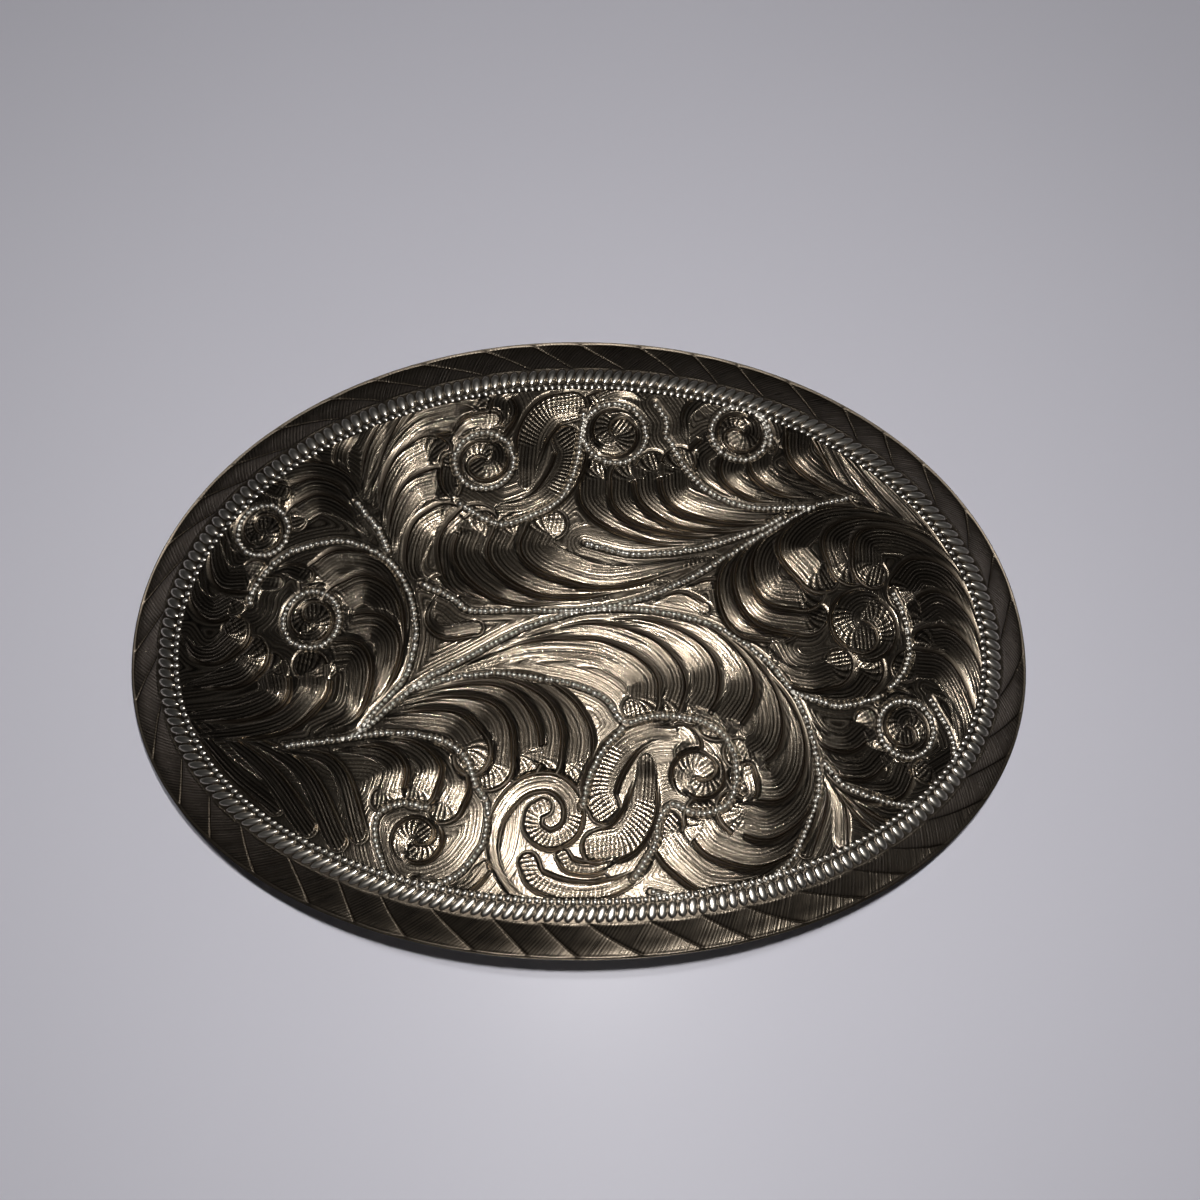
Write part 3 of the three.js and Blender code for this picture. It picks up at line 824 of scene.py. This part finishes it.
WARM_SILVER = (0.38, 0.315, 0.24, 1)
PALE_SILVER = (0.56, 0.475, 0.37, 1)
BRIGHT_SILVER = (0.88, 0.84, 0.76, 1)
# Painted shade for the valleys of the fine lines
LINE_VALLEY_PAINTED_SHADE = (0.05, 0.038, 0.026, 1)
STREAK_SHADE = (0.13, 0.1, 0.07, 1)
# Colour of the tarnish in the cuts, also used as painted shade on the side wall
TARNISH_AND_SHADE_COLOUR = (0.018, 0.013, 0.009, 1)


def engraved_metal():
    """Nickel silver with bright fine lines on the face and painted shade in their valleys, dark tarnish in
    its cuts, painted shade on its side wall, and a satin back.
    """
    n = Nodes("engraved_nickel_silver")
    engraved = n.attribute("engraved")
    phase = n.attribute("line_phase")
    strength = n.math("MULTIPLY", n.attribute("line_strength"), engraved)
    place = n.add("ShaderNodeTexCoord").outputs["Object"]
    drift = n.add("ShaderNodeVectorMath", {0: place, 1: (60.0, 60.0, 60.0)}, operation="MULTIPLY").outputs[0]
    lane = n.add("ShaderNodeCombineXYZ", {"X": n.math("MULTIPLY", phase, 3.0)}).outputs[0]
    spot = n.add("ShaderNodeVectorMath", {0: drift, 1: lane}, operation="ADD").outputs[0]
    streak = n.add("ShaderNodeTexNoise", {"Vector": spot, "Scale": 1.0, "Detail": 3.0}).outputs["Fac"]
    scratches = n.noise(900.0, 3.0, (0.12, 1.6, 1.0))
    blotch = n.noise(70.0, 5.0)
    # Tarnish in the cuts, and painted shade on the side wall, darken the colour here
    tarnish_and_shade_amount = n.math("MULTIPLY", n.attribute("tarnish_and_wall_shade"), n.span(blotch, 0.3, 0.6, 0.85, 1.0))
    film = n.mix(n.span(blotch, 0.35, 0.65), WARM_SILVER, PALE_SILVER)
    # Painted shade: the valleys of the fine lines are darkened in the colour, following the line wave
    line_valley_painted_shade = n.span(n.attribute("line_wave"), 0.6, -0.5, 0.0, 0.92)
    film = n.mix(line_valley_painted_shade, film, LINE_VALLEY_PAINTED_SHADE)
    lined = n.math("MULTIPLY", n.span(streak, 0.35, 0.6, 0.5, 0.0), strength)
    base = n.mix(lined, film, STREAK_SHADE)
    base = n.mix(tarnish_and_shade_amount, base, TARNISH_AND_SHADE_COLOUR)
    polish = n.attribute("polish")
    base = n.mix(polish, base, BRIGHT_SILVER)
    normal = n.bump(n.math("MULTIPLY", streak, strength), 0.00009)
    normal = n.bump(scratches, 0.000005, normal)
    rough = n.math("ADD", n.span(streak, 0.3, 0.7, 0.27, 0.17), n.math("MULTIPLY", tarnish_and_shade_amount, 0.3))
    rough = n.math("MULTIPLY_ADD", polish, 0.2, rough)
    return n.finish_metal(base, rough, normal)


def hardware_metal():
    """Satin nickel silver of the fittings, with marks drawn along X, slight ripples and dark specks."""
    n = Nodes("satin_nickel_silver")
    drawn = n.noise(1500.0, 3.0, (0.1, 1.0, 1.0))
    blotch = n.noise(160.0, 4.0)
    specks = n.noise(3500.0, 2.0)
    base = n.mix(n.span(blotch, 0.35, 0.65), (0.46, 0.43, 0.38, 1), (0.58, 0.55, 0.5, 1))
    base = n.mix(n.span(specks, 0.66, 0.72, 0.0, 0.6), base, (0.16, 0.14, 0.11, 1))
    normal = n.bump(drawn, 0.000012)
    normal = n.bump(n.noise(420.0, 2.0), 0.00003, normal)
    rough = n.span(drawn, 0.3, 0.7, 0.26, 0.42)
    return n.finish_metal(base, rough, normal)


def solder_metal():
    """Silver solder: paler, dull and slightly lumpy, with patches of fire stain."""
    n = Nodes("silver_solder")
    stain = n.noise(520.0, 5.0)
    base = n.mix(n.span(stain, 0.42, 0.64), (0.6, 0.585, 0.55, 1), (0.27, 0.22, 0.17, 1))
    normal = n.bump(n.noise(1400.0, 3.0), 0.00004)
    rough = n.span(stain, 0.3, 0.7, 0.38, 0.55)
    return n.finish_metal(base, rough, normal)


def floor_surface():
    """Plain pale sheet with a slight sheen."""
    n = Nodes("pale_floor")
    haze = n.noise(9.0, 3.0)
    base = n.mix(n.span(haze, 0.1, 0.9), (0.69, 0.68, 0.75, 1), (0.735, 0.725, 0.795, 1))
    return n.finish(Base_Color=base, Roughness=n.span(haze, 0.1, 0.9, 0.26, 0.32), Specular_IOR_Level=0.08)


# ---- fittings on the back

def station(x):
    """Point of the plate's back at x, the way straight out of the back there, and the way along it."""
    turn = math.asin(x / BACK_RADIUS)
    origin = np.array([x, 0.0, BACK_RADIUS * math.cos(turn) + AXIS_HEIGHT])
    down = np.array([-math.sin(turn), 0.0, -math.cos(turn)])
    along = np.array([math.cos(turn), 0.0, -math.sin(turn)])
    return origin, down, along


def full_turn(count):
    return np.linspace(0, 2 * math.pi, count, endpoint=False)


def lathe_points(profile, origin, axis, side, other, count):
    """Rings of a turned shape: each profile entry is a radius and a distance along the axis."""
    angle = full_turn(count)[:, None]
    rings = [origin + axis * h + r * (side * np.cos(angle) + other * np.sin(angle)) for r, h in profile]
    return np.concatenate(rings)


def rounded(profile, radius, steps=5):
    """A closed profile with each corner rounded."""
    out = []
    corners = [np.array(p, float) for p in profile]
    for i, corner in enumerate(corners):
        before = corners[i - 1] - corner
        after = corners[(i + 1) % len(corners)] - corner
        cut = min(radius, 0.45 * np.hypot(*before), 0.45 * np.hypot(*after))
        first = corner + before / np.hypot(*before) * cut
        last = corner + after / np.hypot(*after) * cut
        for t in np.linspace(0, 1, steps):
            out.append(tuple(first * (1 - t) ** 2 + corner * 2 * t * (1 - t) + last * t * t))
    return out


def turned_ring(profile, origin, axis, side, other):
    """Points and faces of a closed ring profile turned about an axis."""
    count = 96
    return lathe_points(profile, origin, axis, side, other, count), closed_ring_faces(len(profile), count)


X_AXIS, Y_AXIS, Z_AXIS = np.eye(3)
HINGE = frame["record"]["behaviour"]["joints"][0]
HINGE_AT = np.array(HINGE["pos_m"]) / MM
TUBE_LOW, TUBE_HIGH = box_mm("hinge_tube")
TUBE_RADIUS = float(TUBE_HIGH[0] - TUBE_LOW[0]) / 2
TUBE_HALF = float(TUBE_HIGH[1])
JOURNAL_RADIUS = 1.2
BORE_RADIUS = JOURNAL_RADIUS + 0.25


def hinge_tube(material):
    profile = rounded([(BORE_RADIUS, -TUBE_HALF), (TUBE_RADIUS, -TUBE_HALF), (TUBE_RADIUS, TUBE_HALF),
                       (BORE_RADIUS, TUBE_HALF)], 0.12)
    points, faces = turned_ring(profile, HINGE_AT, Y_AXIS, Z_AXIS, X_AXIS)
    add_piece("back_hinge_tube", points, faces, "plate", ["hinge_tube"], material)


# The bail's wire and loop, with X measured from the hinge
WIRE_WIDTH = 2.8
WIRE_THICK = 2.2
LOOP_REACH = 15.0
ARM_END = 1.3
ARM_TRIM = 0.12
LOOP_DROP = math.radians(12.5)
LOOP_HALF = float(box_mm("bail")[1][1])
LOOP_MIDDLE = LOOP_HALF - WIRE_WIDTH / 2
LOOP_CORNER = 4.0 - WIRE_WIDTH / 2
JOURNAL_LENGTH = 9.4


def bail_path():
    """Centre line of the loop, from one arm's end round to the other's."""
    bar = -LOOP_REACH
    arm = [(x, LOOP_MIDDLE) for x in np.linspace(ARM_END, bar + LOOP_CORNER, 10)]
    for angle in np.radians(np.arange(97.5, 180, 7.5)):
        across = bar + LOOP_CORNER + LOOP_CORNER * math.cos(angle)
        arm.append((across, LOOP_MIDDLE - LOOP_CORNER + LOOP_CORNER * math.sin(angle)))
    reach = LOOP_MIDDLE - LOOP_CORNER
    crossing = [(bar, y) for y in np.linspace(reach, -reach, 20)]
    return np.array(arm + crossing + [(x, -y) for x, y in arm[::-1]])


def squarer(value):
    """Pushes one coordinate of the unit circle out towards the square round it."""
    return abs(value) ** 0.55 * np.sign(value)


def bail_wire():
    """Rings of the wire along the loop, with a small rounded cap at each end."""
    path = bail_path()
    angles = full_turn(40)
    section = [(squarer(math.cos(a)), squarer(math.sin(a))) for a in angles]
    rings = np.array([[(x - hy * o * WIRE_WIDTH / 2, y + hx * o * WIRE_WIDTH / 2, u * WIRE_THICK / 2)
                       for o, u in section] for (x, y), (hx, hy) in zip(path, headings(path))])
    caps = []
    for at in (0, -1):
        for share, push in ((0.97, 0.0), (0.86, 0.06)):
            middle = rings[at].mean(0)
            ring = middle + (rings[at] - middle) * share
            ring[:, 0] += push
            caps.append(ring)
    rings[[0, -1], :, 0] -= ARM_TRIM
    return np.array([caps[1], caps[0], *rings, caps[2], caps[3]])


def journal(side):
    """Rings of the round pin turned in from one arm."""
    arm = LOOP_HALF - WIRE_WIDTH
    tip = arm - JOURNAL_LENGTH
    profile = [(0.0, tip), (0.9, tip), (1.12, tip + 0.1), (JOURNAL_RADIUS, tip + 0.3),
               (JOURNAL_RADIUS, arm - 0.35), (1.28, arm - 0.12), (1.34, arm + 0.4), (0.0, arm + 0.5)]
    return lathe_points(profile, np.zeros(3), side * Y_AXIS, Z_AXIS, side * X_AXIS, 48), len(profile)


def bail_piece(material):
    """Rectangular wire loop, rounded in section, with a journal turned in from each arm."""
    wire = bail_wire()
    count = wire.shape[1]
    points = wire.reshape(-1, 3)
    faces = capped_faces(len(wire), count)
    for side in (-1, 1):
        pin, rows = journal(side)
        faces += ring_faces(rows, len(pin) // rows, len(points))
        points = np.concatenate([points, pin])
    cos, sin = math.cos(LOOP_DROP), math.sin(LOOP_DROP)
    x = points[:, 0] * cos - points[:, 2] * sin
    z = points[:, 0] * sin + points[:, 2] * cos
    points = np.stack([x, points[:, 1], z], -1) + HINGE_AT
    add_piece("wire_bail", points, faces, "bail", ["bail"], material)


HOOK_X = 21.5
PAD_RADIUS = 4.5
PAD_THICKNESS = 0.9
PRONG_RADIUS = 1.2
NECK_LENGTH = 1.6
NOSE_LENGTH = 4.6
NECK_PULL = 1.9
ELBOW_LEAD = 3.0
NOSE_FULLNESS = 1.03


def hook_pad(material):
    origin, down, along = station(HOOK_X)
    belt_side = SEAM + PAD_THICKNESS
    hole = PRONG_RADIUS + 0.05
    profile = rounded([(hole, belt_side), (PAD_RADIUS, belt_side), (PAD_RADIUS, SEAM), (hole, SEAM)], 0.22)
    points, faces = turned_ring(profile[::-1], origin, down, along, Y_AXIS)
    add_piece("hook_base_pad", points, faces, "plate", ["hook_pad"], material)


def prong_route():
    """Centre line of the prong: straight out of the pad, round the elbow, then along to the tip."""
    origin, down = station(HOOK_X)[:2]
    low = box_mm("hook_prong")[0]
    tip = np.array([low[0], 0.0, low[2] + PRONG_RADIUS])
    root = origin + down * SEAM
    neck = origin + down * (SEAM + NECK_LENGTH)
    beak = tip + NOSE_LENGTH * X_AXIS
    first = neck + NECK_PULL * down
    second = beak + ELBOW_LEAD * X_AXIS
    t = np.linspace(0, 1, 25)[:, None]
    bend = neck * (1 - t) ** 3 + first * 3 * t * (1 - t) ** 2 + second * 3 * t * t * (1 - t) + beak * t**3
    rise = np.linspace(0, 1, 7)[:-1, None]
    run = np.linspace(0, 1, 24)[:, None]
    return np.concatenate([root + (neck - root) * rise, bend[:-1], beak + (tip - beak) * run])


def hook_prong(material):
    path = prong_route()
    heading = np.gradient(path, axis=0)
    heading /= np.linalg.norm(heading, axis=1)[:, None]
    to_tip = np.linalg.norm(path - path[-1], axis=1)
    nose = np.clip(to_tip / PRONG_RADIUS, 0, 1)
    radii = np.clip(NOSE_FULLNESS * PRONG_RADIUS * np.sqrt(1 - (1 - nose) ** 2), 1e-4, PRONG_RADIUS)
    # The root's first ring is doubled, as a point and a full ring, to close it
    path = np.concatenate([path[:1], path])
    heading = np.concatenate([heading[:1], heading])
    radii = np.concatenate([[1e-4], radii])
    count = 56
    angle = full_turn(count)[:, None]
    rings = [p + r * (np.cos(angle) * np.array([-h[2], 0.0, h[0]]) + np.sin(angle) * Y_AXIS)
             for p, h, r in zip(path, heading, radii)]
    faces = ring_faces(len(rings), count)
    add_piece("hook_pin", np.concatenate(rings), faces, "plate", ["hook_prong"], material)


def lumps(values, seed, strength):
    """A few slow waves, the same each run, that make solder uneven."""
    random = np.random.default_rng(seed)
    total = np.zeros_like(values)
    for wave in (0.35, 0.8, 1.9, 3.7):
        total += random.uniform(0.4, 1) / (1 + wave) * np.sin(values * wave + random.uniform(0, 6.3))
    return strength * total


# Solder along the tube, with distances out from the tube's centre line and towards the back
TUBE_X = -15.0
FILLET_HALF = 18.75
FILLET_REACH = 2.95
FILLET_WALL = 1.97
FILLET_HEEL = 0.55
FILLET_SINK = 0.05


def fillet_section(lump, end):
    """Outline of one side's solder: up the tube's wall, down the hollow skirt, and back under the tube."""
    reach = (FILLET_REACH + lump) * (0.8 + 0.2 * end)
    climb = math.radians(4 + 14 * lump)
    angles = np.radians(np.linspace(74, 12, 10)) - np.linspace(0, climb, 10)
    wall = FILLET_WALL * np.stack([np.cos(angles), np.sin(angles)], 1)
    back = SEAM + TUBE_RADIUS
    foot = np.array([reach, back - FILLET_SINK])
    pull = np.array([2.16, back - 0.32])
    t = np.linspace(0, 1, 11)[1:, None]
    skirt = wall[-1] * (1 - t) ** 2 + 2 * pull * t * (1 - t) + foot * t * t
    under = [(reach - 0.1, back + FILLET_SINK), (FILLET_HEEL, back + FILLET_SINK)]
    section = np.concatenate([wall, skirt, under])
    middle = section.mean(0)
    return middle + (section - middle) * max(end, 0.02)


def tube_fillet(side, name, node, material):
    """Solder drawn into the corner between tube and back, thinner towards its two ends."""
    down, along = station(TUBE_X)[1:]
    stations = np.linspace(-FILLET_HALF, FILLET_HALF, 160)
    swell = lumps(stations, 5 + side, 0.1)
    ends = np.sqrt(np.clip(1 - (np.abs(stations) / (FILLET_HALF + 0.01)) ** 24, 0, 1))
    rings = []
    for y, lump, end in zip(stations, swell, ends):
        section = fillet_section(lump, end)
        rings.append([HINGE_AT + along * side * s - down * u + y * Y_AXIS for s, u in section])
    count = len(rings[0])
    points = np.array(rings).reshape(-1, 3)
    faces = capped_faces(len(rings), count)
    add_piece(name, points, faces, "plate", [node], material)


# Section of the solder round the pad: radius, height from the back, and how far each wanders
PAD_FILLET = [(4.42, -0.04, 0, 0), (4.42, 0.84, 0, 1), (4.56, 0.84, 0, 1), (4.66, 0.62, 0.2, 0.8),
              (4.84, 0.42, 0.5, 0.4), (5.12, 0.26, 0.8, 0.1), (5.5, 0.15, 1, 0), (5.72, 0.06, 1, 0),
              (5.72, -0.04, 1, 0)]


def pad_fillet(material):
    """Ring of solder round the pad, its foot wandering a little."""
    origin, down, along = station(HOOK_X)
    count = 160
    angle = full_turn(count)
    wander = 0.09 * np.sin(3 * angle + 1) + 0.06 * np.sin(7 * angle) + 0.04 * np.sin(11 * angle + 2)
    rise = 0.05 * np.sin(2 * angle + 4) + 0.04 * np.sin(5 * angle)
    outward = along * np.cos(angle)[:, None] + Y_AXIS * np.sin(angle)[:, None]
    rings = []
    for r, h, wide, tall in PAD_FILLET:
        radius = (r + wide * wander)[:, None]
        depth = (h + tall * rise)[:, None]
        rings.append(origin + down * depth + radius * outward)
    points = np.concatenate(rings)
    faces = closed_ring_faces(len(rings), count)
    add_piece("hook_pad_solder", points, faces, "plate", ["hook_solder"], material)


# ---- floor, light and camera

TILT = math.radians(15.356)
ROLL = math.radians(7.0)
TURN = math.radians(7.128)
AIM = (1.079, 6.069)
DISTANCE = 167.03
KEY_OFFSET = Vector((9, 20, 0))
FLOOR_HALF = 4.0
FLOOR_DROP = 0.00002


def camera_axes():
    """Camera place, and its right, up and forward directions, in the object's frame."""
    back = Matrix.Rotation(-TURN, 3, "Z")
    place = Vector((AIM[0], AIM[1] - DISTANCE * math.sin(TILT), DISTANCE * math.cos(TILT)))
    forward = Vector((0, math.sin(TILT), -math.cos(TILT)))
    right = Vector((1, 0, 0))
    up = Vector((0, math.cos(TILT), math.sin(TILT)))
    rolled_right = math.cos(ROLL) * right + math.sin(ROLL) * up
    rolled_up = -math.sin(ROLL) * right + math.cos(ROLL) * up
    return [back @ v for v in (place, rolled_right, rolled_up, forward)]


def add_camera():
    place, right, up, forward = camera_axes()
    camera = add_object("camera", bpy.data.cameras.new("camera"))
    camera.data.lens = 48
    camera.data.sensor_width = 36
    camera.data.clip_start = 0.01
    turn = Matrix((right, up, -forward)).transposed().to_4x4()
    camera.matrix_world = Matrix.Translation(place * MM) @ turn
    bpy.context.scene.camera = camera


def add_area(name, place, target, size, power, colour=(1, 1, 1)):
    light = bpy.data.lights.new(name, "AREA")
    light.shape = "DISK"
    light.size = size
    light.energy = power
    light.color = colour
    lamp = add_object(name, light)
    lamp.location = place
    lamp.rotation_euler = (Vector(target) - Vector(place)).to_track_quat("-Z", "Y").to_euler()


def add_sun(name, towards, strength, on_metal):
    """Even light from far off, for glossy surfaces only (the metal) or matt ones only (the floor)."""
    light = bpy.data.lights.new(name, "SUN")
    light.energy = strength
    light.angle = math.radians(2.2)
    lamp = add_object(name, light)
    lamp.rotation_euler = Vector(towards).to_track_quat("Z", "Y").to_euler()
    lamp.visible_glossy = on_metal
    lamp.visible_diffuse = not on_metal


def add_lights():
    """A small key beside the camera, even light from overhead, two faint soft boxes, and a pale horizon."""
    flash = (camera_axes()[0] + KEY_OFFSET) * MM
    add_area("key_by_camera", flash, (0, 0, 0.004), 0.007, 0.15, (1.0, 0.99, 0.985))
    add_sun("even_on_metal", (0.03, -0.11, 1), 0.47, True)
    add_sun("even_on_floor", (0.01, 0.17, 1), 0.5, False)
    add_area("soft_back", (-0.5, 0.75, 0.35), (0, 0, 0), 0.2, 0.01)
    add_area("soft_right", (0.8, -0.3, 0.35), (0, 0, 0), 0.2, 0.025)
    world = bpy.data.worlds.new("studio")
    bpy.context.scene.world = world
    world.use_nodes = True
    tree = world.node_tree
    background = tree.nodes["Background"]
    direction = tree.nodes.new("ShaderNodeTexCoord").outputs["Generated"]
    parts = tree.nodes.new("ShaderNodeSeparateXYZ")
    tree.links.new(direction, parts.inputs[0])
    fall = tree.nodes.new("ShaderNodeMapRange")
    fall.interpolation_type = "SMOOTHSTEP"
    for name, value in {"From Min": 0.0, "From Max": 0.28, "To Min": 0.3, "To Max": 0.01}.items():
        fall.inputs[name].default_value = value
    tree.links.new(parts.outputs["Z"], fall.inputs["Value"])
    tree.links.new(fall.outputs[0], background.inputs["Strength"])
    background.inputs["Color"].default_value = (0.93, 0.93, 1.0, 1)
    bpy.context.scene.view_settings.view_transform = "Standard"


def add_floor():
    corners = [(x * FLOOR_HALF, y * FLOOR_HALF, 0) for x, y in ((-1, -1), (1, -1), (1, 1), (-1, 1))]
    mesh = bpy.data.meshes.new("floor")
    mesh.from_pydata(corners, [], [(0, 1, 2, 3)])
    floor = add_object("floor", mesh)
    floor.location.z = -FLOOR_DROP
    floor.data.materials.append(floor_surface())


def build():
    plate_material = engraved_metal()
    fitting = hardware_metal()
    solder = solder_metal()
    add_camera()
    add_lights()
    add_floor()
    engraved_plate(cut_relief(), plate_material)
    hinge_tube(fitting)
    bail_piece(fitting)
    hook_pad(fitting)
    hook_prong(fitting)
    pad_fillet(solder)
    tube_fillet(-1, "hinge_solder_outer", "tube_solder_outer", solder)
    tube_fillet(1, "hinge_solder_inner", "tube_solder_inner", solder)


build()
